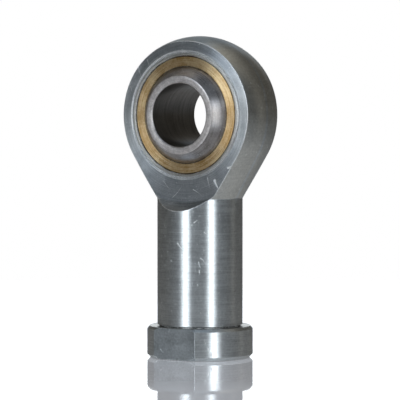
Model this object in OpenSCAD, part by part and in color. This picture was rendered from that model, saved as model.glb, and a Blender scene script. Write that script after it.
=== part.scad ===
// Female rod end with a spherical plain bearing, standing on its threaded collar.
// Origin: centre of the base face. The shank's axis is Z and the eye's axis is Y.

/* [Ball] */
// Height of the eye's centre above the base face
eye_height = 77; // [74:0.5:90]
// Diameter of the bore through the ball
bore_d = 20; // [16:0.1:22]
// Width of the ball between its two end faces
ball_w = 25; // [22:0.1:28]
// Diameter of the ball's spherical surface
ball_d = 34.925; // [34:0.005:38]
// Radial running clearance between the ball and its liner
ball_clearance = 0.05; // [0.02:0.01:0.1]
// Chamfer at both mouths of the ball's bore
bore_chamfer = 0.4; // [0.2:0.1:1]
// Radial width of the broken edge round each end face of the ball
ball_edge_break = 0.2; // [0.1:0.05:0.4]

/* [Bronze liner] */
// Wall of the liner at its middle
liner_wall = 1.0375; // [0.8:0.0125:2]
// Depth of the liner's ends below the faces of the head
liner_recess = 0.4; // [0.1:0.1:1.5]
// Chamfer on the liner's outer corners
liner_chamfer = 0.25; // [0.1:0.05:0.4]
// Width of the grease groove inside the liner
liner_groove_w = 2.4; // [1:0.1:4]
// Depth of that groove below the spherical seat
liner_groove_depth = 0.5; // [0.3:0.05:0.6]

/* [Outer ring] */
// Wall of the steel outer ring
ring_wall = 1.45; // [1.2:0.05:2.5]
// Chamfer on the ring's outer corners
ring_chamfer = 0.45; // [0.2:0.05:0.8]
// Chamfer on the ring's inner corners
ring_inner_chamfer = 0.35; // [0.1:0.05:0.4]
// Width of the grease groove round the outside of the ring
ring_groove_w = 3; // [1:0.1:4]
// Depth of that groove
ring_groove_depth = 0.5; // [0.3:0.1:0.8]

/* [Head] */
// Wall of the head round the bearing
head_wall = 5; // [4:0.1:8]
// Width of the head across its two flat faces
head_w = 18; // [17:0.1:20]
// Angle between the head's tapered flank and the shank's axis
flank_angle = 30; // [25:1:34]
// Distance that the flat face reaches past the round of the head, along the shank
facing_reach = 2.7; // [1.5:0.1:4]
// Angle between the wall at the foot of the flat face and the eye's axis
facing_wall_angle = 28; // [15:1:45]
// Chamfer at both mouths of the hole that holds the bearing
seat_chamfer = 0.4; // [0.2:0.1:0.8]

/* [Shank and collar] */
// Diameter of the shank
shank_d = 27.2; // [24:0.1:29.5]
// Radial step from the shank to the collar
collar_step = 3.25; // [2.5:0.05:6]
// Height of the collar
collar_h = 10; // [8:0.5:14]
// Distance across the two wrench flats
across_flats = 30; // [29.6:0.1:32]
// Chamfer round the collar's base
base_chamfer = 1; // [0.5:0.1:1.5]
// Radial width of the chamfer round the collar's upper edge
collar_chamfer = 0.75; // [0.4:0.05:0.9]
// Height of that chamfer
collar_chamfer_h = 0.95; // [0.5:0.05:1.5]
// Radial depth of the undercut at the foot of the shank
undercut_depth = 0.7; // [0.3:0.05:1.2]
// Width of that undercut
undercut_w = 0.45; // [0.3:0.05:1.5]

/* [Thread] */
// Diameter of the threaded hole on the crests of its thread
thread_minor_d = 18.376; // [16:0.001:19]
// Length of full thread
thread_depth = 33; // [25:0.5:36]
// Length of plain hole past the last full thread
tap_runout = 1.5; // [0.5:0.5:3]
// Countersink at the hole's mouth
mouth_chamfer = 1.2; // [0.8:0.1:2]
// Full angle of the drill point at the hole's end
drill_angle = 118; // [90:1:140]

/* [Grease nipple] */
// Diameter of the nipple's flange
nipple_d = 7.6; // [6:0.1:8.5]
// Height of the flange
nipple_flange_h = 0.8; // [0.5:0.1:1]
// Depth of the flange's seat below the round of the head
nipple_sink = 1; // [0.9:0.1:1.5]
// Gap between the flange and the wall of its pocket
nipple_gap = 0.3; // [0.1:0.1:0.6]
// Diameter of the nipple's press-fit stem
nipple_stem_d = 5; // [4:0.1:5.4]
// Wall between the end of the stem and the bearing's seat
nipple_wall = 1; // [0.6:0.1:1.4]
// Diameter of the funnel in the flange
funnel_d = 4.2; // [3:0.1:5]
// Diameter of the grease passage
passage_d = 2; // [1:0.1:2.6]

/* [Fineness] */
// Sides of a full circle
sides = 96; // [48:12:144]

/* [Hidden] */
$fn = sides;

over = 1;
ball_r = ball_d / 2;
ball_face_r = sqrt(ball_r * ball_r - ball_w * ball_w / 4);
ball_break_angle = atan2(ball_face_r, ball_w / 2) / 2;
seat_r = ball_r + ball_clearance;
liner_r = seat_r + liner_wall;
liner_w = head_w - 2 * liner_recess;
ring_r = liner_r + ring_wall;
head_r = ring_r + head_wall;
facing_r = head_r + facing_reach;
shank_r = shank_d / 2;
collar_r = shank_r + collar_step;
neck_r = shank_r - undercut_depth;
flank_top_r = head_r * cos(flank_angle);
flank_top_z = eye_height - head_r * sin(flank_angle);
shoulder_z = flank_top_z - (flank_top_r - shank_r) / tan(flank_angle);
thread_r = thread_minor_d / 2;
drill_depth = thread_depth + tap_runout;
drill_point_h = thread_r / tan(drill_angle / 2);
nipple_seat_r = head_r - nipple_sink;
nipple_stem_end_r = ring_r + nipple_wall;
funnel_depth = (funnel_d - passage_d) / 2;

// Places its children on the eye's axis, with their own Z turned to -Y
module on_eye_axis() {
    translate([0, 0, eye_height])
        rotate([90, 0, 0])
            children();
}

// Places its children on the line from the eye's centre to the nipple, with their own Z turned to -X
module on_nipple_axis() {
    translate([0, 0, eye_height])
        rotate([0, -90, 0])
            children();
}

// Straight hole through the mouths of which a cone opens by the chamfer
module chamfered_hole(r, width, chamfer) {
    cylinder(r = r, h = width + 2 * over, center = true);
    for (side = [0, 1])
        mirror([0, 0, side])
            translate([0, 0, width / 2 - chamfer])
                cylinder(r1 = r, r2 = r + chamfer + over, h = chamfer + over);
}

// Half section of a ring with chamfered outer corners, from the axis to radius r
module disc_section(r, width, chamfer) {
    polygon([
        [0, -width / 2],
        [r - chamfer, -width / 2],
        [r, chamfer - width / 2],
        [r, width / 2 - chamfer],
        [r - chamfer, width / 2],
        [0, width / 2]
    ]);
}

// Grease passage from radius r0 to radius r1, towards the nipple
module passage(r0, r1) {
    on_nipple_axis()
        translate([0, 0, r0])
            cylinder(d = passage_d, h = r1 - r0);
}

// Half section of the turned blank: collar, undercut, shank, tapered flank and round head
module blank_section() {
    polygon([
        [0, 0],
        [collar_r - base_chamfer, 0],
        [collar_r, base_chamfer],
        [collar_r, collar_h - collar_chamfer_h],
        [collar_r - collar_chamfer, collar_h],
        [neck_r, collar_h],
        [neck_r, collar_h + undercut_w / 2],
        [shank_r, collar_h + undercut_w],
        [shank_r, shoulder_z],
        [flank_top_r, flank_top_z],
        [0, flank_top_z]
    ]);
    intersection() {
        translate([0, eye_height])
            circle(r = head_r);
        translate([0, flank_top_z])
            square([head_r, 2 * head_r]);
    }
}

// Material milled away beside the head, which leaves the flat face and the sloping wall at its foot
module facing_cut() {
    cut_h = head_r - head_w / 2 + over;
    translate([0, 0, head_w / 2])
        cylinder(r1 = facing_r, r2 = facing_r + cut_h * tan(facing_wall_angle), h = cut_h);
}

// Drilled and countersunk hole, up from the base face
module threaded_hole() {
    translate([0, 0, -over])
        cylinder(r = thread_r, h = drill_depth + over);
    translate([0, 0, drill_depth])
        cylinder(r1 = thread_r, r2 = 0, h = drill_point_h);
    translate([0, 0, -over])
        cylinder(r1 = thread_r + mouth_chamfer + over, r2 = thread_r, h = mouth_chamfer + over);
}

// Pocket for the nipple's flange, and the hole for its stem
module nipple_pocket() {
    on_nipple_axis() {
        translate([0, 0, nipple_seat_r])
            cylinder(d = nipple_d + 2 * nipple_gap, h = nipple_sink + over);
        translate([0, 0, nipple_stem_end_r])
            cylinder(d = nipple_stem_d, h = nipple_sink + nipple_seat_r - nipple_stem_end_r);
    }
}

module housing() {
    color([0.74, 0.78, 0.80])
        difference() {
            rotate_extrude()
                blank_section();
            on_eye_axis() {
                for (side = [0, 1])
                    mirror([0, 0, side])
                        facing_cut();
                chamfered_hole(ring_r, head_w, seat_chamfer);
            }
            for (side = [0, 1])
                mirror([0, side, 0])
                    translate([-collar_r - over, across_flats / 2, -over])
                        cube([2 * (collar_r + over), collar_r, collar_h + over]);
            threaded_hole();
            nipple_pocket();
            passage(ring_r - over, nipple_stem_end_r + over);
        }
}

module outer_ring() {
    color([0.62, 0.65, 0.67])
        difference() {
            on_eye_axis()
                difference() {
                    rotate_extrude()
                        difference() {
                            disc_section(ring_r, head_w, ring_chamfer);
                            translate([ring_r - ring_groove_depth, -ring_groove_w / 2])
                                square([ring_groove_depth + over, ring_groove_w]);
                        }
                    chamfered_hole(liner_r, head_w, ring_inner_chamfer);
                }
            passage(seat_r, head_r);
        }
}

module bronze_liner() {
    color([0.80, 0.62, 0.36])
        difference() {
            on_eye_axis()
                rotate_extrude()
                    difference() {
                        disc_section(liner_r, liner_w, liner_chamfer);
                        intersection() {
                            circle(r = seat_r);
                            translate([0, -ball_w / 2])
                                square([seat_r, ball_w]);
                        }
                        translate([0, -liner_groove_w / 2])
                            square([seat_r + liner_groove_depth, liner_groove_w]);
                    }
            passage(ball_r, ring_r);
        }
}

module inner_ring() {
    flat_r = ball_face_r - ball_edge_break;
    edge_run = ball_r - flat_r;
    color([0.55, 0.54, 0.57])
        on_eye_axis()
            difference() {
                rotate_extrude()
                    intersection() {
                        circle(r = ball_r);
                        polygon([
                            [0, -ball_w / 2],
                            [flat_r, -ball_w / 2],
                            [ball_r, edge_run * tan(ball_break_angle) - ball_w / 2],
                            [ball_r, ball_w / 2 - edge_run * tan(ball_break_angle)],
                            [flat_r, ball_w / 2],
                            [0, ball_w / 2]
                        ]);
                    }
                chamfered_hole(bore_d / 2, ball_w, bore_chamfer);
            }
}

module grease_nipple() {
    flange_top_r = nipple_seat_r + nipple_flange_h;
    color([0.76, 0.78, 0.79])
        on_nipple_axis()
            difference() {
                union() {
                    translate([0, 0, nipple_seat_r])
                        cylinder(d = nipple_d, h = nipple_flange_h);
                    translate([0, 0, nipple_stem_end_r])
                        cylinder(d = nipple_stem_d, h = nipple_seat_r - nipple_stem_end_r);
                }
                translate([0, 0, nipple_stem_end_r - over])
                    cylinder(d = passage_d, h = head_r - ring_r + 2 * over);
                translate([0, 0, flange_top_r - funnel_depth])
                    cylinder(d1 = passage_d, d2 = funnel_d + 2 * over, h = funnel_depth + over);
            }
}

housing();
outer_ring();
bronze_liner();
inner_ring();
grease_nipple();
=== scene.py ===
import math
import bmesh
import bpy
import numpy as np
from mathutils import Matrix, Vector


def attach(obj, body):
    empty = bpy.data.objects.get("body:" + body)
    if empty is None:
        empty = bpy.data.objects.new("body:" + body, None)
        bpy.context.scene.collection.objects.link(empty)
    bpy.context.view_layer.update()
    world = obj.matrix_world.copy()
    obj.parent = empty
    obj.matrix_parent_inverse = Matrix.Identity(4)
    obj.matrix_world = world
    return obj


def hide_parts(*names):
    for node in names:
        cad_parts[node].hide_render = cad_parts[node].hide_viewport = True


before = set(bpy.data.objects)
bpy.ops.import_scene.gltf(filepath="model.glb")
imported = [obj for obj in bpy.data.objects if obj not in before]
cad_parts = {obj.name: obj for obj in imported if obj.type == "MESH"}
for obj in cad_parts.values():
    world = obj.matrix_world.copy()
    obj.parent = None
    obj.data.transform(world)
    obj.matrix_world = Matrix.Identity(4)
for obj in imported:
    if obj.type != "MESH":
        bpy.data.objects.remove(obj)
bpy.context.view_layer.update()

# Lengths in the settings are millimetres, and angles are degrees.
# Z is up along the shank, and Y runs through the eye

eyeHeight = 77  # of the bore's axis above the base

camera = {
    "turn": 32.8,  # to the right of the eye's front, seen from above
    "height": 2.3,  # above the horizon
    "distance": 768,
    "focalLength": 217,
    "sensor": 36,
    "nearEnd": 10,  # nothing closer is seen
    "aim": (0, 0, 49.9),
}


def placeCamera(s):
    turn, height = math.radians(s["turn"]), math.radians(s["height"])
    level = math.cos(height)
    back = Vector((math.sin(turn) * level, -math.cos(turn) * level, math.sin(height)))
    lens = bpy.data.cameras.new("camera")
    lens.lens, lens.sensor_width, lens.clip_start = s["focalLength"], s["sensor"], s["nearEnd"] / 1000
    eye = bpy.data.objects.new("camera", lens)
    eye.location = (Vector(s["aim"]) + back * s["distance"]) / 1000
    eye.rotation_euler = back.to_track_quat("Z", "Y").to_euler()
    bpy.context.scene.collection.objects.link(eye)
    bpy.context.scene.camera = eye


placeCamera(camera)
bpy.context.scene.view_settings.view_transform = "Standard"
print("camera placed")


def unit(v):
    # Each direction divided by its length
    return v / np.maximum(np.linalg.norm(v, axis=-1, keepdims=True), 1e-12)


def fade(value, low, high):
    # Smooth step: 0 below low, 1 above high, 3t^2 - 2t^3 between
    t = np.clip((value - low) / (high - low), 0, 1)
    return t * t * (3 - 2 * t)


def cornerArc(corner, before, after, radius, steps=3):
    # Points on the arc that touches both sides of each corner. Its centre lies on the halving line, at
    # radius / sin(half angle). It takes at most mostOfSide of a side, so it shrinks away where one has no length
    mostOfSide, nearlyStraight, tiny = 0.45, 1.56, 1e-6
    toBefore, toAfter = before - corner, after - corner
    room = mostOfSide * np.minimum(np.linalg.norm(toBefore, axis=-1), np.linalg.norm(toAfter, axis=-1))
    toBefore, toAfter = unit(toBefore), unit(toAfter)
    half = np.arccos(np.clip((toBefore * toAfter).sum(-1), -1, 1)) / 2
    reach = np.minimum(radius / np.maximum(np.tan(half), tiny), room)
    away = (reach / np.maximum(np.cos(half), tiny))[..., None]
    centre = corner + unit(toBefore + toAfter) * away
    first = unit(corner + toBefore * reach[..., None] - centre)[..., None, :]
    last = unit(corner + toAfter * reach[..., None] - centre)[..., None, :]
    sweep = (math.pi - 2 * half)[..., None, None]
    share = np.linspace(0, 1, steps + 1)[:, None]
    spread = np.sin((1 - share) * sweep) * first + np.sin(share * sweep) * last
    spread = spread / np.maximum(np.sin(sweep), tiny)
    arc = centre[..., None, :] + (reach * np.tan(half))[..., None, None] * spread
    sharp = (reach < tiny / 10) | (half > nearlyStraight)
    return np.where(sharp[..., None, None], corner[..., None, :], arc)


def roundedPath(corners, radii, steps=3):
    # Rounds the inner corners of many paths at once. corners is (paths, corners, 2), with one radius a corner
    columns = []
    for k in range(corners.shape[1]):
        if 0 < k < corners.shape[1] - 1 and radii[k]:
            columns.append(cornerArc(corners[:, k], corners[:, k - 1], corners[:, k + 1], radii[k], steps))
        else:
            columns.append(corners[:, k:k + 1])
    return np.concatenate(columns, 1)


def roundEye(path, angle):
    # Puts (distance from the eye's axis, place along it) at an angle from straight down:
    # x = d sin a, z = eye height - d cos a
    d, y = path[..., 0], path[..., 1]
    return np.stack([d * np.sin(angle), y + 0 * angle, eyeHeight - d * np.cos(angle)], -1)


def roundShank(path, angle):
    # Puts (distance from the shank's axis, height) at an angle from X: x = r cos a, y = r sin a
    r, z = path[..., 0], path[..., 1]
    return np.stack([r * np.cos(angle), r * np.sin(angle), z + 0 * angle], -1)


def roundNipple(path, angle):
    # Puts (distance from the nipple's axis, place along it) at an angle from Y:
    # x = -v, y = d cos a, z = eye height + d sin a
    d, v = path[..., 0], path[..., 1]
    return np.stack([-v, d * np.cos(angle), eyeHeight + d * np.sin(angle)], -1)


grainScale = {"face": 50, "shank": 20, "flat": 40, "depth": 9}  # units of the grain map for each metre


def grainMap(mesh, finishes, s):
    # The map's first direction runs along the tool marks: round the eye, round the shank or straight across
    place = np.empty(len(mesh.vertices) * 3)
    mesh.vertices.foreach_get("co", place)
    corner = np.empty(len(mesh.loops), int)
    mesh.loops.foreach_get("vertex_index", corner)
    kind = np.empty(len(mesh.polygons), int)
    mesh.polygons.foreach_get("material_index", kind)
    total = np.empty(len(mesh.polygons), int)
    mesh.polygons.foreach_get("loop_total", total)
    x, y, z = place.reshape(-1, 3)[corner].T
    rise = z - eyeHeight / 1000
    maps = {
        "eye": (np.arctan2(rise, np.abs(x)), np.hypot(x, rise) * s["face"] + y * s["depth"]),
        "shank": (np.arctan2(y, np.abs(x)), z * s["shank"] + np.hypot(x, y) * s["depth"]),
        "flat": (x * s["flat"], z * s["flat"] + y * s["depth"]),
    }
    way = np.repeat(kind, total)
    uv = np.zeros((len(corner), 2))
    for k, finish in enumerate(finishes):
        for side in (0, 1):
            uv[way == k, side] = maps[finish["marks"]][side][way == k]
    mesh.uv_layers.new(name="grain").data.foreach_set("uv", uv.ravel())


joining = {"merge": 2e-6, "dissolve": 1e-7, "smoothUnder": 38}  # in metres, and the least sharp angle


def makePiece(name, patches, finishes, body, node):
    # Each patch is a grid of points (rows, columns, 3), the finish of each of its columns and an optional mask
    # of its faces. The grids meet in the same points, so joining these gives one closed surface
    points, quads, kinds, first = [], [], [], 0
    for grid, columnKinds, *mask in patches:
        rows, columns = grid.shape[:2]
        number = first + np.arange(rows * columns).reshape(rows, columns)
        faces = np.stack([number[:-1, :-1], number[1:, :-1], number[1:, 1:], number[:-1, 1:]], -1)
        keep = mask[0] if mask else np.ones((rows - 1, columns - 1), bool)
        quads.append(faces[keep])
        kinds.append(np.broadcast_to(columnKinds, (rows - 1, columns - 1))[keep])
        points.append(grid.reshape(-1, 3) / 1000)
        first += rows * columns
    mesh = bpy.data.meshes.new(name)
    mesh.from_pydata(np.concatenate(points), [], np.concatenate(quads))
    mesh.polygons.foreach_set("material_index", np.concatenate(kinds).astype(np.int32))
    shape = bmesh.new()
    shape.from_mesh(mesh)
    bmesh.ops.remove_doubles(shape, verts=shape.verts, dist=joining["merge"])
    bmesh.ops.dissolve_degenerate(shape, edges=shape.edges, dist=joining["dissolve"])
    bmesh.ops.delete(shape, geom=[v for v in shape.verts if not v.link_faces], context="VERTS")
    bmesh.ops.recalc_face_normals(shape, faces=shape.faces)
    openEdges = sum(1 for e in shape.edges if len(e.link_faces) != 2)
    shape.to_mesh(mesh)
    shape.free()
    mesh.shade_smooth()
    mesh.set_sharp_from_angle(angle=math.radians(joining["smoothUnder"]))
    for finish in finishes:
        mesh.materials.append(finish["material"])
    grainMap(mesh, finishes, grainScale)
    piece = bpy.data.objects.new(name, mesh)
    bpy.context.scene.collection.objects.link(piece)
    weigh = piece.modifiers.new("face weighted normals", "WEIGHTED_NORMAL")
    weigh.mode, weigh.weight, weigh.keep_sharp = "FACE_AREA", 50, True
    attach(piece, body)
    if node:
        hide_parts(node)
    print(name, "made:", len(mesh.polygons), "faces,", openEdges, "open edges")


studio = {  # azimuths are measured from the camera, to its right
    "panels": [
        {"azimuth": -40, "width": 18, "low": 2, "high": 36, "power": 4.2, "soft": 9, "softEnd": 8},
        {"azimuth": 31, "width": 16, "low": 0, "high": 28, "power": 4.2, "soft": 9, "softEnd": 8},
        {"azimuth": 101, "width": 12, "low": -10, "high": 80, "power": 0.10, "soft": 8, "softEnd": 20},
        {"azimuth": 180, "width": 20, "low": -5, "high": 9.5, "power": 1.75, "soft": 7, "softEnd": 4},
        {"azimuth": 180, "width": 50, "low": 14, "high": 34, "power": 0.24, "soft": 16, "softEnd": 12},
    ],
    "room": 0.08,
    "ceiling": 0.50,  # behind the object
    "nearCeiling": 0.10,  # on the camera's side
    "ceilingRise": (32.0, 80.0),
    "ceilingTurn": (70.0, 110.0),
    "nearSide": 0.12,
    "nearSideTurn": (100.0, 20.0),
    "coolTint": (0.96, 1.0, 1.01),
    "coldTint": (0.87, 1.0, 1.14),  # high and low
    "coldRise": (6.0, 30.0),
    "warmTint": (1.07, 1.0, 0.87),  # at both sides
    "warmTurn": (55.0, 110.0),
    "warmEnd": (168.0, 150.0),
}


def nodeMaker(tree):
    # node("Kind", inputs in order or by label, setting=value) makes a node and gives the chosen output
    def node(kind, *inputs, out=0, **settings):
        made = tree.nodes.new("ShaderNode" + kind)
        for key, value in settings.items():
            setattr(made, key, value)
        if inputs and isinstance(inputs[0], dict):
            pairs = [(made.inputs[label], value) for label, value in inputs[0].items()]
        else:
            pairs = zip([socket for socket in made.inputs if socket.enabled], inputs)
        for socket, value in pairs:
            if isinstance(value, bpy.types.NodeSocket):
                tree.links.new(value, socket)
            else:
                socket.default_value = value
        return made.outputs[out] if made.outputs else made

    def maths(operation, *inputs):
        return node("Math", *inputs, operation=operation)

    def ramp(value, low, high, first=0.0, last=1.0):
        return node("MapRange", value, low, high, first, last, interpolation_type="SMOOTHSTEP")

    def mixed(share, first, last):
        # Mixes two colours, each given as three numbers or as the output of a node
        first, last = [(*c, 1) if isinstance(c, tuple) else c for c in (first, last)]
        return node("Mix", {"Factor": share, "A": first, "B": last}, data_type="RGBA", out=2)

    return node, maths, ramp, mixed


def lightStudio(s):
    # A dim room with two upright soft lights and a white wall behind the object
    world = bpy.data.worlds.new("studio")
    bpy.context.scene.world = world
    world.use_nodes = True
    tree = world.node_tree
    tree.nodes.clear()
    node, maths, ramp, mixed = nodeMaker(tree)
    back = -math.radians(camera["turn"])
    around = node("TexCoord", out="Generated")
    direction = node("VectorRotate", {"Vector": around, "Angle": back}, rotation_type="Z_AXIS")
    x = node("SeparateXYZ", direction)
    y, z = x.node.outputs[1:]
    azimuth = maths("MULTIPLY", maths("ARCTAN2", x, maths("MULTIPLY", y, -1.0)), 180 / math.pi)
    away = maths("ABSOLUTE", azimuth)
    height = maths("MULTIPLY", maths("ARCSINE", z), 180 / math.pi)
    overhead = ramp(away, *s["ceilingTurn"], s["nearCeiling"], s["ceiling"])
    light = maths("ADD", s["room"], maths("MULTIPLY", ramp(height, *s["ceilingRise"]), overhead))
    light = maths("ADD", light, maths("MULTIPLY", ramp(away, *s["nearSideTurn"]), s["nearSide"]))
    for p in s["panels"]:
        apart = maths("SUBTRACT", away if p["azimuth"] == 180 else azimuth, float(p["azimuth"]))
        half, soft, end = p["width"] / 2, p["soft"] / 2, p["softEnd"] / 2
        wide = ramp(maths("ABSOLUTE", apart), half + soft, half - soft)
        low = ramp(height, p["low"] - end, p["low"] + end)
        tall = maths("MULTIPLY", low, ramp(height, p["high"] + end, p["high"] - end))
        light = maths("ADD", light, maths("MULTIPLY", maths("MULTIPLY", wide, tall), p["power"]))
    sides = maths("MULTIPLY", ramp(away, *s["warmTurn"]), ramp(away, *s["warmEnd"]))
    highOrLow = ramp(maths("ABSOLUTE", height), *s["coldRise"])
    tint = mixed(sides, mixed(highOrLow, s["coolTint"], s["coldTint"]), s["warmTint"])
    white = node("Background", (1, 1, 1, 1), 1.0)
    shown = node("MixShader", node("LightPath", out="Is Camera Ray"), node("Background", tint, light), white)
    node("OutputWorld", {"Surface": shown})


floorPlate = {  # each pair is where something is nil and where it is full, measured from the shank's axis
    "size": 8000,
    "gap": 0.1,  # below the base, so that no two faces share a plane
    "colour": (0.77, 0.77, 0.79),
    "roughness": 0.03,
    "refraction": 1.5,
    "mirrorStart": (55, 130),
    "mirrorEnd": (400, 290),
    "dullEnd": (210, 150),
    "frontMirror": 0.55,  # share of the mirror that is left where it is dull
    "besideStart": (19, 40),
    "behindStart": (0, -30),
    "farStart": (280, 450),
    "steepStart": (0.38, 0.30),  # strength of the mirror
    "asideMirror": 0.2,
    "glow": 0.58,
    "frontGlow": 0.25,
    "asideGlow": 0.88,
    "steepGlow": 0.58,
    "glowTint": (0.94, 0.96, 1.04),
    "nearGlow": 0.22,  # what the metal mirrors of the floor at its foot
    "nearGlowTint": (1.03, 1.0, 0.96),
    "nearGlowEnd": (280, 50),
    "whiteStart": (140, 360),
    "whiteDelay": 0.5,  # it starts that much later in front of the object
}


def layFloor(s):
    # Pale and polished. It mirrors more at a low angle and less in front of the object. For the camera it is
    # nearly white beside and behind the object, from steeply above and far away, and its glow is lower in front of
    # the object: painted shade there. It goes over into the white round it, and isn't seen from below. The metal
    # mirrors a weak glow of it
    half, gap = s["size"] / 2000, s["gap"] / 1000
    mesh = bpy.data.meshes.new("floor")
    outline = [(-half, -half, -gap), (half, -half, -gap), (half, half, -gap), (-half, half, -gap)]
    mesh.from_pydata(outline, [], [(0, 1, 2, 3)])
    floor = bpy.data.objects.new("floor", mesh)
    bpy.context.scene.collection.objects.link(floor)
    material = bpy.data.materials.new("glossy pale floor")
    material.use_nodes = True
    tree = material.node_tree
    tree.nodes.clear()
    node, maths, ramp = nodeMaker(tree)[:3]
    place = node("TexCoord", out="Object")  # in metres

    def towards(*direction):
        return node("VectorMath", place, direction, operation="DOT_PRODUCT", out="Value")

    def reached(distance, stretch):
        return ramp(distance, stretch[0] / 1000, stretch[1] / 1000)

    def between(first, last, share):
        return maths("ADD", first, maths("MULTIPLY", share, maths("SUBTRACT", last, first)))

    turn = math.radians(camera["turn"])
    ahead = towards(math.sin(turn), -math.cos(turn), 0)
    beside = maths("ABSOLUTE", towards(math.cos(turn), math.sin(turn), 0))
    away = node("VectorMath", place, operation="LENGTH", out="Value")
    seen = node("LightPath", out="Is Camera Ray")
    strength = node("Fresnel", s["refraction"])
    near = reached(ahead, s["mirrorStart"])
    front = maths("MULTIPLY", near, reached(ahead, s["mirrorEnd"]))
    dull = maths("MULTIPLY", near, reached(ahead, s["dullEnd"]))
    aside = maths("MAXIMUM", reached(beside, s["besideStart"]), reached(ahead, s["behindStart"]))
    steep = ramp(strength, *s["steepStart"])
    bright = maths("MAXIMUM", maths("MAXIMUM", aside, steep), reached(away, s["farStart"]))
    mirror = maths("MULTIPLY", maths("SQRT", strength), between(1.0, s["frontMirror"], dull))
    mirror = maths("MULTIPLY", mirror, between(1.0, s["asideMirror"], maths("MULTIPLY", seen, bright)))
    # Painted shade: for the camera the glow is lower in front of the object
    level = between(s["glow"], s["frontGlow"], front)
    level = between(level, between(s["asideGlow"], s["steepGlow"], steep), bright)
    glow = node("Emission", (*s["glowTint"], 1), maths("MULTIPLY", seen, level))
    close = maths("MULTIPLY", reached(away, s["nearGlowEnd"]), s["nearGlow"])
    mirrored = maths("MULTIPLY", seen.node.outputs["Is Glossy Ray"], close)
    glow = node("AddShader", glow, node("Emission", (*s["nearGlowTint"], 1), mirrored))
    pale = node("AddShader", node("BsdfDiffuse", (*s["colour"], 1)), glow)
    polish = node("BsdfGlossy", (1, 1, 1, 1), s["roughness"])
    solid = node("MixShader", mirror, pale, polish)
    beyond = maths("SUBTRACT", away, maths("MULTIPLY", maths("MAXIMUM", ahead, 0.0), s["whiteDelay"]))
    under = node("NewGeometry", out="Backfacing")
    gone = maths("MULTIPLY", seen, maths("MAXIMUM", reached(beyond, s["whiteStart"]), under))
    node("OutputMaterial", {"Surface": node("MixShader", gone, solid, node("BsdfTransparent"))})
    mesh.materials.append(material)


lightStudio(studio)
layFloor(floorPlate)
print("studio lit and floor laid")


def newGroup(name, inputs, outputs):
    group = bpy.data.node_groups.new(name, "ShaderNodeTree")
    for direction, sockets in (("INPUT", inputs), ("OUTPUT", outputs)):
        for label, kind in sockets.items():
            group.interface.new_socket(label, in_out=direction, socket_type="NodeSocket" + kind)
    return group, group.nodes.new("NodeGroupInput").outputs, group.nodes.new("NodeGroupOutput").inputs


lineNoise = {"scale": 1.0, "detail": 2.0, "fineLength": 0.15, "wideLength": 0.06}


def toolMarksGroup(s):
    # Lines left by a turning tool: noise that changes fast across the marks and slowly along them
    group, given, result = newGroup(
        "tool marks",
        {"Across": "Float", "Along": "Float", "Pitch": "Float", "Band": "Float"},
        {"Fine": "Float", "Wide": "Float"})
    node, maths = nodeMaker(group)[:2]
    for label, step, length in (("Fine", "Pitch", s["fineLength"]), ("Wide", "Band", s["wideLength"])):
        across = maths("DIVIDE", given["Across"], given[step])
        spot = node("CombineXYZ", across, maths("MULTIPLY", given["Along"], length), 0.0)
        values = {"Vector": spot, "Scale": s["scale"], "Detail": s["detail"]}
        group.links.new(node("TexNoise", values, noise_dimensions="2D"), result[label])
    return group


scratchShape = {"startWidth": 1.15, "core": 0.4}  # shares of the width; the end is 1 thinner than the start


def scratchGroup(s):
    # One scratch: 1 within its width of a bowed line between two places, thinner towards its end
    group, given, result = newGroup(
        "scratch",
        {"Place": "Vector", "From": "Vector", "To": "Vector", "Width": "Float", "Bow": "Float"},
        {"Mask": "Float"})
    node, maths, ramp = nodeMaker(group)[:3]

    def scaled(vector, factor):
        return node("VectorMath", {"Vector": vector, "Scale": factor}, operation="SCALE")

    course = node("VectorMath", given["To"], given["From"], operation="SUBTRACT")
    reach = node("VectorMath", given["Place"], given["From"], operation="SUBTRACT")
    length = node("VectorMath", course, operation="LENGTH", out="Value")
    shadow = node("VectorMath", reach, course, operation="DOT_PRODUCT", out="Value")
    along = node("Clamp", maths("DIVIDE", shadow, maths("MULTIPLY", length, length)), 0.0, 1.0)
    bow = maths("MULTIPLY", maths("MULTIPLY", along, maths("SUBTRACT", 1.0, along)), given["Bow"])
    sideways = scaled(node("VectorMath", course, (0.0, 0.0, 1.0), operation="CROSS_PRODUCT"), bow)
    foot = node("VectorMath", node("VectorMath", given["From"], scaled(course, along)), sideways)
    gap = node("VectorMath", given["Place"], foot, operation="DISTANCE", out="Value")
    thin = maths("MULTIPLY", given["Width"], maths("SUBTRACT", s["startWidth"], along))
    group.links.new(ramp(gap, thin, maths("MULTIPLY", thin, s["core"])), result["Mask"])
    return group


knocks = {
    "patches": {"Scale": 0.28, "Detail": 3.0, "Roughness": 0.65},
    "spots": {"Scale": 1.6, "Detail": 2.0},
    "patchStart": (0.40, 0.54),
    "spotStart": (0.34, 0.54),
    "turnStart": (0.995, 0.95),  # cosine between the flat normal and the rounded one
    "samples": 6,
}


def edgeWearGroup(s):
    # Edges knocked bright here and there: where a rounded normal leaves the flat one, times patchy noise
    group, given, result = newGroup(
        "edge wear", {"Place": "Vector", "Reach": "Float", "Amount": "Float"}, {"Mask": "Float"})
    node, maths, ramp = nodeMaker(group)[:3]
    rounded = node("Bevel", given["Reach"], samples=s["samples"])
    turn = node("VectorMath", rounded, node("NewGeometry", out="Normal"), operation="DOT_PRODUCT", out="Value")
    patch = node("TexNoise", {"Vector": given["Place"], **s["patches"]})
    spot = node("TexNoise", {"Vector": given["Place"], **s["spots"]})
    knocked = maths("MULTIPLY", ramp(patch, *s["patchStart"]), ramp(spot, *s["spotStart"]))
    worn = maths("MULTIPLY", maths("MULTIPLY", ramp(turn, *s["turnStart"]), knocked), given["Amount"])
    group.links.new(worn, result["Mask"])
    return group


toolMarks, scratch, edgeWear = toolMarksGroup(lineNoise), scratchGroup(scratchShape), edgeWearGroup(knocks)


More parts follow.
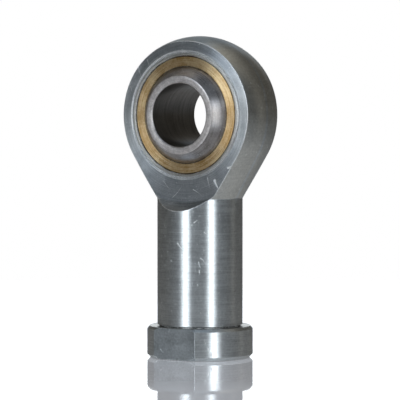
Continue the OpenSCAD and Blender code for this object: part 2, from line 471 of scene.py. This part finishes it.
def finishMetal(name, s):
    # Metal with tool marks along the grain map, cloudy patches, scratches at given places, worn edges, and painted
    # shade: darker lines at given places in corners and where parts meet
    material = bpy.data.materials.new(name)
    material.use_nodes = True
    tree = material.node_tree
    surface = tree.nodes["Principled BSDF"]
    node, maths, ramp, mixed = nodeMaker(tree)

    def group(tool, values, out="Mask"):
        return node("Group", values, node_tree=tool, out=out)

    def offset(value, amount):
        return maths("MULTIPLY", maths("SUBTRACT", value, 0.5), amount)

    def hypotenuse(a, b):
        return maths("SQRT", maths("ADD", maths("MULTIPLY", a, a), maths("MULTIPLY", b, b)))

    def total(a, b, c, d):
        return maths("ADD", maths("ADD", a, b), maths("ADD", c, d))

    place = node("Mapping", {"Vector": node("TexCoord", out="Object"), "Scale": (1000, 1000, 1000)})
    x = node("SeparateXYZ", place)
    y, z = x.node.outputs[1:]
    if s["marks"] == "eye":
        rise = maths("SUBTRACT", z, eyeHeight)
        reach = hypotenuse(x, rise)
        across, along = maths("ADD", reach, y), maths("ARCTAN2", rise, maths("ABSOLUTE", x))
        unrolled, paintedShadeAt = node("CombineXYZ", x, z, 0.0), reach
    elif s["marks"] == "shank":
        across, along = maths("ADD", z, hypotenuse(x, y)), maths("ARCTAN2", y, maths("ABSOLUTE", x))
        around = maths("MULTIPLY", maths("ARCTAN2", x, maths("MULTIPLY", y, -1.0)), s["shankRadius"])
        unrolled, paintedShadeAt = node("CombineXYZ", around, z, 0.0), z
    else:
        across, along = maths("ADD", z, maths("MULTIPLY", y, s["slant"])), x
        unrolled, paintedShadeAt = node("CombineXYZ", x, z, 0.0), z
    if s["marks"] != "flat":
        along = maths("MULTIPLY", along, s["roundLength"])
    fine = group(toolMarks, {"Across": across, "Along": along, "Pitch": s["pitch"], "Band": s["band"]}, "Fine")
    wide = fine.node.outputs["Wide"]
    cloud = node("TexNoise", {"Vector": place, "Scale": s["cloudSize"], **s["cloudNoise"]})
    speck = node("TexNoise", {"Vector": place, "Scale": s["speckSize"], **s["speckNoise"]})
    tone = total(offset(wide, s["bandTone"]), offset(cloud, s["cloudTone"]),
                 offset(fine, s["lineTone"]), offset(speck, s["speckTone"]))
    colour = mixed(maths("ADD", 0.5, tone), s["deep"], s["light"])
    # Painted shade: each line darkens the colour towards the painted shade colour, at a given height or distance from
    # the eye's axis
    for middle, half, depth in s["paintedShadeLines"]:
        beside = maths("ABSOLUTE", maths("SUBTRACT", paintedShadeAt, middle))
        paintedShade = maths("MULTIPLY", ramp(beside, half, half * s["paintedShadeCore"]), depth)
        colour = mixed(paintedShade, colour, s["paintedShade"])
    rough = maths("ADD", offset(fine, s["lineRough"]), offset(cloud, s["cloudRough"]))
    rough = maths("ADD", s["roughness"], rough)
    height = total(maths("MULTIPLY", fine, s["lineDepth"]), maths("MULTIPLY", wide, s["bandDepth"]),
                   maths("MULTIPLY", cloud, s["cloudDepth"]), maths("MULTIPLY", speck, s["speckDepth"]))
    if s["marks"] == "eye":  # the faces bulge a little: a flat cone about the eye's axis
        height = maths("ADD", height, maths("MULTIPLY", reach, -math.tan(math.radians(s["crown"]))))
    worn = maths("MULTIPLY", ramp(speck, *s["nickStart"]), s["nicks"])
    if s["wear"]:
        facing = ramp(node("LayerWeight", 0.5, out="Facing"), *s["facingStart"])
        edge = group(edgeWear, {"Place": place, "Reach": s["wearReach"] / 1000, "Amount": s["wear"]})
        worn = maths("MAXIMUM", worn, maths("MULTIPLY", facing, edge))
    for start, end, width, bow in s["scratches"]:
        ends = {"From": (*start, 0), "To": (*end, 0)}
        worn = maths("MAXIMUM", worn, group(scratch, {"Place": unrolled, **ends, "Width": width, "Bow": bow}))
    height = maths("SUBTRACT", height, maths("MULTIPLY", worn, s["wearDepth"]))
    looks = {
        "Base Color": mixed(worn, colour, s["bare"]),
        "Roughness": maths("ADD", rough, maths("MULTIPLY", worn, s["wearRough"])),
        "Metallic": maths("SUBTRACT", 1.0, maths("MULTIPLY", worn, s["burr"])),
        "Tangent": node("Tangent", direction_type="UV_MAP", uv_map="grain"),
        "Normal": node("Bump", {"Height": height, "Distance": 0.001}),  # a height of 1 is a millimetre
    }
    for label, value in looks.items():
        tree.links.new(value, surface.inputs[label])
    surface.inputs["Anisotropic"].default_value = s["stretch"]
    surface.inputs["Anisotropic Rotation"].default_value = s["stretchTurn"]
    return {"material": material, "marks": s["marks"]}


housing = {
    "headRadius": 25,
    "faceDepth": 9,  # half of the width over the two flat faces
    "seatRadius": 20,
    "seatChamfer": 0.4,
    "seatRounds": (0.05, 0.08),
    "flankAngle": 30,
    "facingRadius": 27.7,
    "facingAngle": 28,
    "facingHeight": 6,  # more than the wall at the foot of a face is high
    "shankRadius": 13.6,
    "shoulderRound": 0.25,  # where the flank goes over into the shank
    "neckRadius": 12.9,
    "neckWidth": 0.45,
    "collarRadius": 16.85,
    "collarHeight": 10,
    "acrossFlats": 30,
    "flatBlend": 0.3,  # rounding between a wrench flat and the round of the collar
    "baseChamfer": 1,
    "collarChamfer": 0.75,
    "collarChamferHeight": 0.95,
    "collarRounds": (0, 0.1, 0, 0, 0.1, 0.12, 0.12, 0.1, 0),  # from the shank down to the mouth of the thread
    "edgeRound": 0.28,
    "noseRound": 0.3,  # the cutter's nose in the corner at the foot of a flat face
    "threadMinor": 9.188,
    "threadMajor": 10,
    "threadPitch": 1.5,
    "threadDepth": 33,
    "holeDepth": 34.5,
    "mouthChamfer": 1.2,
    "drillAngle": 118,
    "pocketRadius": 4.1,
    "pocketFloor": 24,
    "pocketRounds": (0, 0, 0, 0, 0.12, 0, 0.06, 0, 0),
    "pocketWindow": (15, 6.6),  # half of the part of the rim that is meshed as rays: its angle and its width
    "stemHoleRadius": 2.5,
    "stemHoleEnd": 21,
}


turnedKind, facedKind, milledKind, threadKind, rimKind, edgeKind = range(6)  # the order of the housing's finishes


def headReach(s, angle, w):
    # How far the round head or its tapered flank reaches from the eye's axis, at w from the middle plane.
    # The head is the sphere d^2 + w^2 = r^2. The flank is the cone x^2 + w^2 = (a - b d cos)^2, solved for d
    radius, tilt = s["headRadius"], math.radians(s["flankAngle"])
    sphere = np.sqrt(np.maximum(radius * radius - w * w, 0))
    a, b, down, side = radius / math.cos(tilt), math.tan(tilt), np.cos(angle), np.sin(angle)
    half = a * b * down
    under = np.maximum(half * half - (b * b * down * down - side * side) * (a * a - w * w), 0)
    cone = (a * a - w * w) / np.maximum(half + np.sqrt(under), 1e-9)
    return np.where(sphere * down <= radius * math.sin(tilt), sphere, cone)


def wallTop(s, down, side):
    # Distance from the middle plane at which the wall of the face cut leaves the turned blank, found by halving
    w, tilt = s["faceDepth"], math.radians(s["flankAngle"])
    slope = math.tan(math.radians(s["facingAngle"]))
    low, high = w * np.ones_like(down), (w + s["facingHeight"]) * np.ones_like(down)
    for _ in range(40):
        v = (low + high) / 2
        d = s["facingRadius"] + (v - w) * slope
        blank = np.maximum(s["headRadius"] / math.cos(tilt) - d * down * math.tan(tilt), s["shankRadius"])
        inside = np.hypot(d * side, v) < blank
        low, high = np.where(inside, v, low), np.where(inside, high, v)
    return low


def headSections(s, angle, walled, endDrop):
    # Half sections of the head, one for each angle from straight down: (distance from the eye's axis, distance
    # from the middle plane). Each runs from the seat over the flat face to the rim. The walled ones go up the
    # wall at the foot of the face and down the shank to the level endDrop below the eye
    r, w = s["shankRadius"], s["faceDepth"]
    down, side = np.cos(angle), np.abs(np.sin(angle))
    drop, hair, least, runOut = eyeHeight - shoulderHeight(s), 1e-6, 0.05, 0.06
    one = np.ones_like(angle)
    pair = lambda d, v: np.stack([d * one, v * one], -1)
    shankDepth = lambda d: np.sqrt(np.maximum(r * r - (d * side) ** 2, 0))
    seat = pair(s["seatRadius"], w - s["seatChamfer"])
    mouth = pair(s["seatRadius"] + s["seatChamfer"], w)
    if walled:
        top = wallTop(s, down, side)
        foot = pair(s["facingRadius"], w)
        corner = pair(s["facingRadius"] + (top - w) * math.tan(math.radians(s["facingAngle"])), top)
        before, radius = foot, s["edgeRound"] * one
    else:
        corner = pair(headReach(s, angle, w * one), w)
        before = mouth
        fromDown = np.abs((angle + math.pi) % (2 * math.pi) - math.pi)
        radius = s["edgeRound"] * fade(fromDown, wallEnd(s), wallEnd(s) + runOut)
    onShank = corner[:, 0] * down > drop - hair
    step = 0.5  # how far past the corner the surface behind it is taken
    alongShank = pair(corner[:, 0] + step, shankDepth(corner[:, 0] + step))
    alongFlank = pair(headReach(s, angle, corner[:, 1] - step), corner[:, 1] - step)
    edge = cornerArc(corner, before, np.where(onShank[:, None], alongShank, alongFlank), radius)
    start = edge[:, -1]
    onShank = start[:, 0] * down > drop - hair
    shoulderReach = drop / np.maximum(down, least)
    past = (down < least) | (shoulderReach * side > r)  # these cross the middle of the rim above the shoulder
    middle = pair(headReach(s, angle, 0 * one), 0)
    shoulder = np.where(past[:, None], middle, pair(shoulderReach, shankDepth(shoulderReach)))
    shoulder = np.where(onShank[:, None], start, shoulder)
    t = np.linspace(0, 1, 15)
    v = start[:, None, 1] + (shoulder - start)[:, None, 1] * t
    flank = np.stack([headReach(s, angle[:, None], v), v], -1)
    flank = np.where(onShank[:, None, None], start[:, None], flank)
    if walled:
        endReach = endDrop / down
    else:
        endReach = np.where(past, shoulder[:, 0], r / np.maximum(side, least))
    t = np.sin(np.linspace(0, 1, 13) * math.pi / 2)
    d = shoulder[:, None, 0] + (endReach - shoulder[:, 0])[:, None] * t
    shank = np.stack([d, np.sqrt(np.maximum(r * r - (d * side[:, None]) ** 2, 0))], -1)
    shank = np.where((past & ~onShank & (not walled))[:, None, None], shoulder[:, None], shank)
    crease = cornerArc(shoulder, flank[:, -2], shank[:, 1], s["shoulderRound"])
    seatPath = np.stack([pair(s["seatRadius"], 0), seat, mouth, before if walled else corner], 1)
    seatEdge = roundedPath(seatPath, (0, *s["seatRounds"], 0))
    parts = [(seatEdge[:, :2], facedKind), (seatEdge[:, 2:-1], edgeKind)]
    if walled:
        parts.append((cornerArc(foot, mouth, corner, s["noseRound"]), facedKind))
    parts += [(edge[:, :1], facedKind), (edge[:, 1:], edgeKind), (flank[:, 1:-1], rimKind),
              (crease, turnedKind), (shank[:, 1:], turnedKind)]
    kinds = np.concatenate([np.full(p.shape[1], k) for p, k in parts])
    return np.concatenate([p for p, _ in parts], 1), kinds[1:]


def shoulderHeight(s):
    # Where the flank's cone, tangent to the round head, comes down to the shank's radius
    tilt = math.radians(s["flankAngle"])
    return eyeHeight - s["headRadius"] / math.sin(tilt) + s["shankRadius"] / math.tan(tilt)


def wallEnd(s):
    # The angle from straight down at which the wall of the face cut runs out into the flank
    angle = np.linspace(0.2, 0.7, 50001)
    return float(angle[np.argmax(headReach(s, angle, s["faceDepth"]) < s["facingRadius"])])


def blendCentre(s):
    # Centre of the small circle that touches both a wrench flat and the round of the collar
    cy = s["acrossFlats"] / 2 - s["flatBlend"]
    return math.sqrt((s["collarRadius"] - s["flatBlend"]) ** 2 - cy ** 2), cy


def collarOutline(s, angle):
    # Distance of the collar's side from its axis: the lower of the round and the flats, with a blend circle between
    flat, blend = s["acrossFlats"] / 2, s["flatBlend"]
    cx, cy = blendCentre(s)
    across, up = np.abs(np.cos(angle)), np.abs(np.sin(angle))
    along = cx * across + cy * up
    arc = along + np.sqrt(np.maximum(along ** 2 - cx * cx - cy * cy + blend * blend, 0))
    fromX = np.arctan2(up, across)
    straight = np.where(fromX > math.atan2(flat, cx), flat / np.maximum(up, 1e-9), arc)
    return np.where(fromX < math.atan2(cy, cx), s["collarRadius"], straight)


def threadWall(s, angle):
    # The threaded wall as a helical grid: each column follows the helix, z = pitch (column + angle / turn), and
    # its radius is the 60 degree thread's. The mouth's countersink cuts it, and its end fades into the plain hole
    pitch, minor, depth = s["threadPitch"], s["threadMinor"], s["threadDepth"]
    within = np.array([0, 0.125, 0.25, 0.40625, 0.5625, 0.6875, 0.84375])  # crest, flank, root and flank
    height = np.array([0, 0, 0, 0.5, 1, 1, 0.5])
    turns = int(depth / pitch) + 2
    place = (np.arange(turns)[:, None] + within).ravel() - 1
    z = np.clip(pitch * (place + angle[:, None] / (2 * math.pi)), 0, depth)
    groove = np.tile(height, turns) * (s["threadMajor"] - minor) * (1 - fade(z, depth - pitch, depth))
    r = np.maximum(minor + groove, minor + s["mouthChamfer"] - z)
    return roundShank(np.stack([r, z], -1), angle[:, None])


def shankTurns(s):
    # Angles round the shank, closer together where a wrench flat meets the round of the collar
    flat = s["acrossFlats"] / 2
    cx, cy = blendCentre(s)
    blended = np.linspace(math.atan2(cy, cx), math.atan2(flat, cx), 6)
    edges = [math.asin(flat / (s["collarRadius"] - s[chamfer])) for chamfer in ("baseChamfer", "collarChamfer")]
    quarter = np.unique(np.concatenate([np.linspace(0, math.pi / 2, 37), blended, edges]))
    halfTurn = np.concatenate([quarter, math.pi - quarter[-2::-1]])
    return halfTurn, np.concatenate([halfTurn, 2 * math.pi - halfTurn[-2::-1]])


def headPatches(s, last, endDrop):
    # The head above the ends of the two walls, on both sides of the middle plane, and the nipple's pocket in it
    pocketAt, window, near = 1.5 * math.pi, math.radians(s["pocketWindow"][0]), 0.12
    over = 2 * math.pi - last
    windowStart, windowEnd = pocketAt - window, pocketAt + window
    stretches = [(last, last + near, 9), (last + near, math.pi, 100), (math.pi, windowStart, 51),
                 (windowStart, windowEnd, 21), (windowEnd, over - near, 32), (over - near, over, 9)]
    angle = np.unique(np.concatenate([np.linspace(*stretch) for stretch in stretches]))
    section, kinds = headSections(s, angle, False, endDrop)
    front, back = roundEye(section * (1, -1), angle[:, None]), roundEye(section, angle[:, None])
    row0, row1 = np.searchsorted(angle, [windowStart - 1e-6, windowEnd - 1e-6])
    onRim = np.arange(section.shape[1]) > 8  # past the columns of the flat face
    column = int(np.argmax(onRim & (section[row0, :, 1] < s["pocketWindow"][1])))
    keep = np.ones((len(angle) - 1, section.shape[1] - 1), bool)
    keep[row0:row1, column:] = False
    loop = np.concatenate([back[row0, column:], front[row0, :column - 1:-1], front[row0:row1 + 1, column],
                           front[row1, column:], back[row1, :column - 1:-1], back[row1:row0 - 1:-1, column]])
    return [(front, kinds, keep), (back, kinds, keep), (nipplePocket(s, loop), turnedKind)]


def nipplePocket(s, loop):
    # Rays from the edge of the window in the rim to a circle, over the sphere x^2 + d^2 = r^2, then down the pocket
    loop = loop[np.linalg.norm(loop - np.roll(loop, 1, 0), axis=1) > 1e-5]
    loop = np.concatenate([loop, loop[:1]])
    across, up = loop[:, 1], loop[:, 2] - eyeHeight
    reach, ray = np.hypot(across, up), np.arctan2(up, across)[:, None]
    c, radius = s["pocketRadius"], s["headRadius"]
    share = np.array([0, 0.3, 0.6, 0.85])
    rings = reach[:, None] + (c - reach)[:, None] * share
    rim = np.stack([rings, np.sqrt(radius * radius - rings ** 2)], -1)
    rim[:, 0, 1] = -loop[:, 0]
    deep = [(c, math.sqrt(radius * radius - c * c)), (c, s["pocketFloor"]), (s["stemHoleRadius"], s["pocketFloor"]),
            (s["stemHoleRadius"], s["stemHoleEnd"]), (0, s["stemHoleEnd"])]
    steps = np.concatenate([rim, np.broadcast_to(np.array(deep), (len(loop), 5, 2))], 1)
    return roundNipple(roundedPath(steps, s["pocketRounds"]), ray)


def collarPatch(s, turn, endDrop):
    # The shank, its undercut and the collar down to the mouth of the threaded hole
    r, height, neck, outside = s["shankRadius"], s["collarHeight"], s["neckRadius"], s["collarRadius"]
    side = collarOutline(s, turn)
    least = 0.1  # what a chamfer keeps on a flat
    top = np.minimum(outside - s["collarChamfer"], side - least)
    fall = np.maximum((side - top) * s["collarChamferHeight"] / s["collarChamfer"], least)
    base = np.minimum(outside - s["baseChamfer"], side - least)
    corners = [(r, eyeHeight - endDrop), (r, height + s["neckWidth"]), (neck, height + s["neckWidth"] / 2),
               (neck, height), (top, height), (side, height - fall), (side, side - base), (base, 0),
               (s["threadMinor"] + s["mouthChamfer"], 0)]
    one = np.ones_like(turn)
    corners = np.stack([np.stack([a * one, b * one], -1) for a, b in corners], 1)
    body = roundedPath(corners, s["collarRounds"])
    flat = side < outside - 1e-6
    kinds = np.full((len(turn) - 1, body.shape[1] - 1), turnedKind)
    kinds[flat[:-1] & flat[1:], 10:] = milledKind  # the columns below the collar's upper edge
    kinds[:, -2:] = milledKind  # the base
    return roundShank(body, turn[:, None]), kinds


def makeHousing(s, finishes):
    last = wallEnd(s)
    endDrop = s["shankRadius"] / math.tan(last)
    halfTurn, turn = shankTurns(s)
    patches = headPatches(s, last, endDrop)

    # The foot of the head: flat face, wall and the top of the shank, in step with the shank's own rows
    angle = np.arctan(s["shankRadius"] * np.cos(halfTurn) / endDrop)
    section, kinds = headSections(s, angle, True, endDrop)
    patches += [(roundEye(section * (1, side), angle[:, None]), kinds) for side in (-1, 1)]

    patches += [collarPatch(s, turn, endDrop), (threadWall(s, turn), threadKind)]
    minor = s["threadMinor"]
    tip = s["holeDepth"] + minor / math.tan(math.radians(s["drillAngle"] / 2))
    hole = np.array([(minor, s["threadDepth"]), (minor, s["holeDepth"]), (0, tip)])
    patches.append((roundShank(np.broadcast_to(hole, (len(turn), 3, 2)), turn[:, None]), threadKind))
    makePiece("housing_turned", patches, finishes, "housing", "housing")


bearing = {
    "seatRadius": 20,
    "ringDepth": 9,  # half widths over the end faces
    "ringChamfer": 0.45,
    "ringInnerChamfer": 0.35,
    "ringRounds": (0, 0.08, 0.1, 0.1, 0.08, 0.08, 0.1, 0.1, 0.08, 0.05, 0, 0, 0),
    "grooveDepth": 0.5,
    "grooveWidth": 3,
    "linerRadius": 18.55,
    "linerDepth": 8.6,
    "linerChamfer": 0.25,
    "linerRounds": (0.08, 0.12),
    "linerGrooveDepth": 0.5,
    "linerGrooveWidth": 2.4,
    "sphereSeatRadius": 17.5125,
    "ballRadius": 17.4625,
    "ballDepth": 12.5,
    "ballFaceRadius": 11.994,
    "ballEdge": (12.334, 12.362),
    "ballRounds": (0.15, 0.2, 0.2),
    "boreRadius": 10,
    "boreChamfer": 0.4,
}


def sphereArc(radius, y0, y1, count):
    # Half section of a sphere about the eye's centre, from y0 to y1 in equal angles: d = r cos a, y = r sin a
    a = np.linspace(math.asin(y0 / radius), math.asin(y1 / radius), count)
    return [(radius * math.cos(v), radius * math.sin(v)) for v in a]


def spinSection(name, corners, rounds, kinds, finishes, body, node, carry=roundEye, turns=240):
    # Rounds a half section and carries it round the eye's axis, or round the line from the eye to the nipple
    path = roundedPath(np.array([corners], float), rounds)
    columns = []
    for k in range(len(corners) - 1):
        rounded = 0 < k + 1 < len(corners) - 1 and rounds[k + 1]
        columns += [kinds[k]] + ([kinds[k + 1]] * 3 if rounded else [])
    angle = np.linspace(0, 2 * math.pi, turns + 1)[:, None]
    grid = carry(np.broadcast_to(path, (turns + 1,) + path.shape[1:]), angle)
    makePiece(name, [(grid, np.array(columns))], finishes, body, node)


def makeOuterRing(s, finishes):
    r, w, c = s["seatRadius"], s["ringDepth"], s["ringChamfer"]
    i, e = s["linerRadius"], s["ringInnerChamfer"]
    g, v = r - s["grooveDepth"], s["grooveWidth"] / 2
    corners = [(r, v), (r, w - c), (r - c, w), (i + e, w), (i, w - e), (i, e - w), (i + e, -w), (r - c, -w),
               (r, c - w), (r, -v), (g, -v), (g, v), (r, v)]
    kinds = [0, 1, 0, 1, 0, 1, 0, 1, 0, 0, 0, 0]  # 1 for the chamfers
    rounds = s["ringRounds"]
    spinSection("ring_turned", corners, rounds, kinds, finishes, "housing", "outer_ring")


def makeLiner(s, finishes):
    r, w, c, seatRadius = s["linerRadius"], s["linerDepth"], s["linerChamfer"], s["sphereSeatRadius"]
    v, g = s["linerGrooveWidth"] / 2, seatRadius + s["linerGrooveDepth"]
    seat, under = sphereArc(seatRadius, w, v, 14), sphereArc(seatRadius, -v, -w, 14)
    corners = [(r, w - c), (r - c, w)] + seat + [(g, v), (g, -v)] + under + [(r - c, -w), (r, c - w), (r, w - c)]
    outer, inner = s["linerRounds"]
    rounds = [0, outer, inner] + [0] * (len(corners) - 7) + [inner, outer, outer, 0]
    kinds = [1] + [0] * (len(corners) - 3) + [1]  # 1 for the chamfers
    spinSection("liner_turned", corners, rounds, kinds, finishes, "housing", "bronze_liner")


def makeBall(s, finishes):
    w, b, c, f, (er, ew) = s["ballDepth"], s["boreRadius"], s["boreChamfer"], s["ballFaceRadius"], s["ballEdge"]
    middle = sphereArc(s["ballRadius"], ew, -ew, 49)[1:-1]
    corners = [(b, w - c), (b + c, w), (f, w), (er, ew)] + middle
    corners += [(er, -ew), (f, -w), (b + c, -w), (b, c - w), (b, w - c)]
    bore, face, edge = s["ballRounds"]
    rounds = [0, bore, face, edge] + [0] * len(middle) + [edge, face, bore, bore, 0]
    kinds = [1, 1, 1] + [0] * (len(middle) + 1) + [1, 1, 1, 2]  # 1 for the ends, 2 for the bore
    spinSection("ball_ground", corners, rounds, kinds, finishes, "ball", "inner_ring")


nipple = {
    "flangeRadius": 3.8,
    "seat": 24,
    "top": 24.8,
    "stemRadius": 2.5,
    "stemEnd": 21,
    "passage": 1,
    "funnel": 2.1,
    "rounds": (0, 0.1, 0, 0.05, 0.15, 0.1, 0.05, 0),
    "ball": 0.93,
    "ballSunk": 0.35,  # its centre below the narrow end of the funnel
}


def makeNipple(s, finishes):
    f, r, p, o = s["flangeRadius"], s["stemRadius"], s["passage"], s["funnel"]
    end, seat, top, neck = s["stemEnd"], s["seat"], s["top"], s["top"] - o + p
    corners = [(p, end), (r, end), (r, seat), (f, seat), (f, top), (o, top), (p, neck), (p, end)]
    spinSection("nipple_turned", corners, s["rounds"], [0] * 8, finishes, "housing", "grease_nipple",
                carry=roundNipple, turns=96)
    # The spring-loaded ball that closes the passage: a sphere d = r cos a, along = c + r sin a
    a, turn = np.linspace(-math.pi / 2, math.pi / 2, 25), np.linspace(0, 2 * math.pi, 49)[:, None]
    path = np.stack([s["ball"] * np.cos(a), neck - s["ballSunk"] + s["ball"] * np.sin(a)], -1)
    grid = roundNipple(np.broadcast_to(path, (49, 25, 2)), turn)
    makePiece("nipple_ball", [(grid, 0)], finishes, "housing", None)


# Finishes. Tone says how much a pattern lightens or darkens, Rough how much it dulls, and Depth how deep it is
turned = {
    "marks": "shank",
    "shankRadius": 13.6,
    "deep": (0.50, 0.53, 0.55),
    "light": (0.72, 0.76, 0.78),
    "bare": (1.0, 1.0, 0.99),
    "roughness": 0.31,
    "lineRough": 0.05,
    "cloudRough": 0.14,
    "wearRough": 0.3,
    "stretch": 0.62,
    "stretchTurn": 0.25,  # the highlight runs across the tool marks
    "pitch": 0.25,
    "band": 1.4,
    "roundLength": 10.0,  # length of the marks for one radian
    "slant": 0.3,
    "cloudSize": 0.22,
    "cloudNoise": {"Detail": 5.0, "Roughness": 0.6},
    "speckSize": 1.4,
    "speckNoise": {"Detail": 2.0},
    "lineTone": 1.4,
    "bandTone": 0.7,
    "cloudTone": 1.4,
    "speckTone": 1.2,
    "lineDepth": 0.0006,
    "bandDepth": 0.001,
    "cloudDepth": 0.004,
    "speckDepth": 0.0012,
    "wear": 1.0,
    "wearReach": 0.35,
    "wearDepth": 0.02,
    "facingStart": (0.85, 0.65),  # worn edges fade out where the surface turns away
    "nicks": 0.7,
    "nickStart": (0.68, 0.76),
    "burr": 0.8,  # share of its metallic shine that a scratch loses
    "paintedShadeLines": [(10.1, 0.3, 0.6)],  # painted shade in the undercut at the collar's top: its middle, half width and depth
    "paintedShadeCore": 0.3,
    "paintedShade": (0.10, 0.09, 0.075),
    "scratches": [  # from, to, width and bow
        ((0.5, 36.8), (2.9, 34.5), 0.22, 0.25), ((5.9, 43.3), (7.2, 44.2), 0.18, -0.2),
        ((9.1, 40.4), (10.2, 39.6), 0.18, 0.3), ((7.9, 32.2), (9.3, 30.4), 0.17, -0.5),
        ((7.4, 31.0), (8.4, 28.9), 0.15, 0.5), ((7.6, 28.4), (7.9, 27.0), 0.17, 0.3),
        ((7.0, 23.9), (7.2, 23.5), 0.17, 0.0), ((-2.2, 31.3), (-1.9, 30.8), 0.20, 0.0),
        ((9.9, 4.1), (10.8, 2.4), 0.20, 0.5), ((10.7, 2.6), (10.0, 0.8), 0.18, -0.4)],
}
faced = {
    **turned, "marks": "eye", "deep": (0.31, 0.34, 0.37), "light": (0.63, 0.66, 0.69),
    "roughness": 0.33, "stretch": 0.87, "pitch": 0.22, "band": 1.1, "speckSize": 1.9, "speckTone": 0.7,
    "lineTone": 1.1, "wearReach": 0.2, "wearDepth": 0.08, "burr": 0.6, "paintedShadeLines": [],
    "crown": 3.0,  # how far the faces lean outwards from the eye
    "scratches": [
        ((-17.6, 92.5), (-16.2, 88.4), 0.10, 0.1), ((-14.2, 94.6), (-13.1, 91.4), 0.09, -0.1),
        ((-20.6, 86.1), (-19.9, 84.0), 0.10, 0.0), ((-4.5, 51.0), (-1.2, 54.4), 0.10, 0.2),
        ((3.2, 53.6), (6.5, 51.5), 0.09, -0.2), ((-8.0, 56.1), (-5.2, 53.2), 0.08, 0.1),
        ((-11.4, 98.3), (-9.2, 99.6), 0.12, 0.2), ((5.4, 99.1), (7.0, 100.6), 0.12, 0.0),
        ((-21.3, 66.8), (-20.2, 64.6), 0.12, 0.1), ((8.6, 57.4), (9.4, 54.2), 0.12, 0.0),
        ((16.2, 60.6), (18.6, 62.0), 0.45, 0.3), ((11.4, 56.6), (13.0, 53.6), 0.48, 0.2),
        ((16.8, 94.6), (19.4, 91.0), 0.42, 0.2)],
}
# Lighter than the faces: a painted highlight along the rounded edges and chamfers
edged = {
    **faced, "deep": (0.54, 0.55, 0.56), "light": (0.88, 0.89, 0.90), "roughness": 0.40, "cloudRough": 0.3,
    "cloudSize": 0.9, "wearReach": 0.6, "stretch": 0.0, "crown": 0.0, "scratches": [],
}
rolled = {
    **turned, "deep": (0.47, 0.48, 0.465), "light": (0.70, 0.71, 0.685), "lineTone": 0.5, "bandTone": 0.4,
    "cloudTone": 1.1, "paintedShadeLines": [], "scratches": [],
}
milled = {
    **turned, "marks": "flat", "deep": (0.36, 0.39, 0.415), "light": (0.56, 0.605, 0.635), "roughness": 0.33,
    "stretch": 0.3, "pitch": 0.7, "band": 2.6, "lineTone": 0.4, "cloudSize": 0.2, "cloudTone": 2.2, "speckTone": 1.8,
    "scratches": [
        ((-7.2, 12.1), (-6.0, 10.9), 0.10, 0.3), ((-5.2, 3.3), (-4.1, 2.0), 0.08, -0.2),
        ((-6.8, 0.6), (-6.6, -0.4), 0.3, 0.0)],
}
plated = {**milled, "paintedShadeLines": [], "scratches": []}
threaded = {
    **turned, "deep": (0.36, 0.37, 0.37), "light": (0.54, 0.55, 0.55), "roughness": 0.32, "wear": 0.0,
    "paintedShadeLines": [], "scratches": [],
}
bronzed = {
    **faced, "deep": (0.57, 0.33, 0.12), "light": (1.0, 0.79, 0.48), "bare": (0.98, 0.80, 0.55), "roughness": 0.35,
    # painted shade in two rings on the bronze: where it meets the outer ring and where it meets the ball
    "stretch": 0.91, "crown": 2.8, "lineTone": 1.5, "wear": 0.8, "paintedShadeLines": [(18.6, 0.35, 0.9), (15.2, 0.45, 0.9)],
    "paintedShade": (0.10, 0.065, 0.035), "scratches": [],
}
# Lighter in its dark tones than the bronze: a painted highlight along its rounded edges
bronzeEdged = {**bronzed, "deep": (0.7, 0.5, 0.25), "roughness": 0.3, "stretch": 0.0, "paintedShadeLines": []}
ringed = {
    **faced, "deep": (0.41, 0.405, 0.385), "light": (0.76, 0.745, 0.71), "roughness": 0.38, "stretch": 0.72,
    # painted shade in a ring at the inner edge, where the outer ring meets the bronze
    "crown": 0.6, "nicks": 0.4, "paintedShadeLines": [(18.5, 0.4, 0.8)], "paintedShade": (0.11, 0.08, 0.05), "scratches": [],
}
# The ring's edge gets the same painted shade ring where it meets the bronze
ringEdged = {**edged, "deep": (0.40, 0.40, 0.40), "light": (0.74, 0.74, 0.73), "paintedShadeLines": [(18.5, 0.3, 0.8)]}
ground = {
    **faced, "deep": (0.19, 0.175, 0.17), "light": (0.47, 0.445, 0.44), "roughness": 0.31, "stretch": 0.3,
    "crown": 0.0, "wear": 0.0, "scratches": [],
}
endGround = {
    **faced, "deep": (0.41, 0.38, 0.375), "light": (0.84, 0.79, 0.77), "roughness": 0.46, "stretch": 0.3,
    "crown": 0.0, "cloudTone": 1.3, "cloudSize": 0.7, "speckTone": 0.8, "wear": 0.8, "scratches": [],
}
# Much darker than the ball's own steel: painted shade inside the bore
boreInPaintedShade = {
    **ground, "deep": (0.09, 0.085, 0.08), "light": (0.27, 0.26, 0.25), "roughness": 0.32, "cloudTone": 0.7,
    "speckTone": 0.4, "lineTone": 0.3, "nicks": 0.0,
}

zinc = [finishMetal(name, s) for name, s in (
    ("turned zinc", turned), ("faced zinc", faced), ("milled zinc", milled), ("thread zinc", threaded),
    ("rim zinc", rolled), ("edge zinc", edged))]
ringSteel = [finishMetal("ring steel", ringed), finishMetal("ring edge", ringEdged)]
bronze = [finishMetal("bronze", bronzed), finishMetal("bronze edge", bronzeEdged)]
ballSteel = [finishMetal("ball steel", ground), finishMetal("ball face", endGround), finishMetal("bore steel in painted shade", boreInPaintedShade)]
nippleZinc = [finishMetal("nipple zinc", plated)]
print("metals finished")

makeHousing(housing, zinc)
makeOuterRing(bearing, ringSteel)
makeLiner(bearing, bronze)
makeBall(bearing, ballSteel)
makeNipple(nipple, nippleZinc)
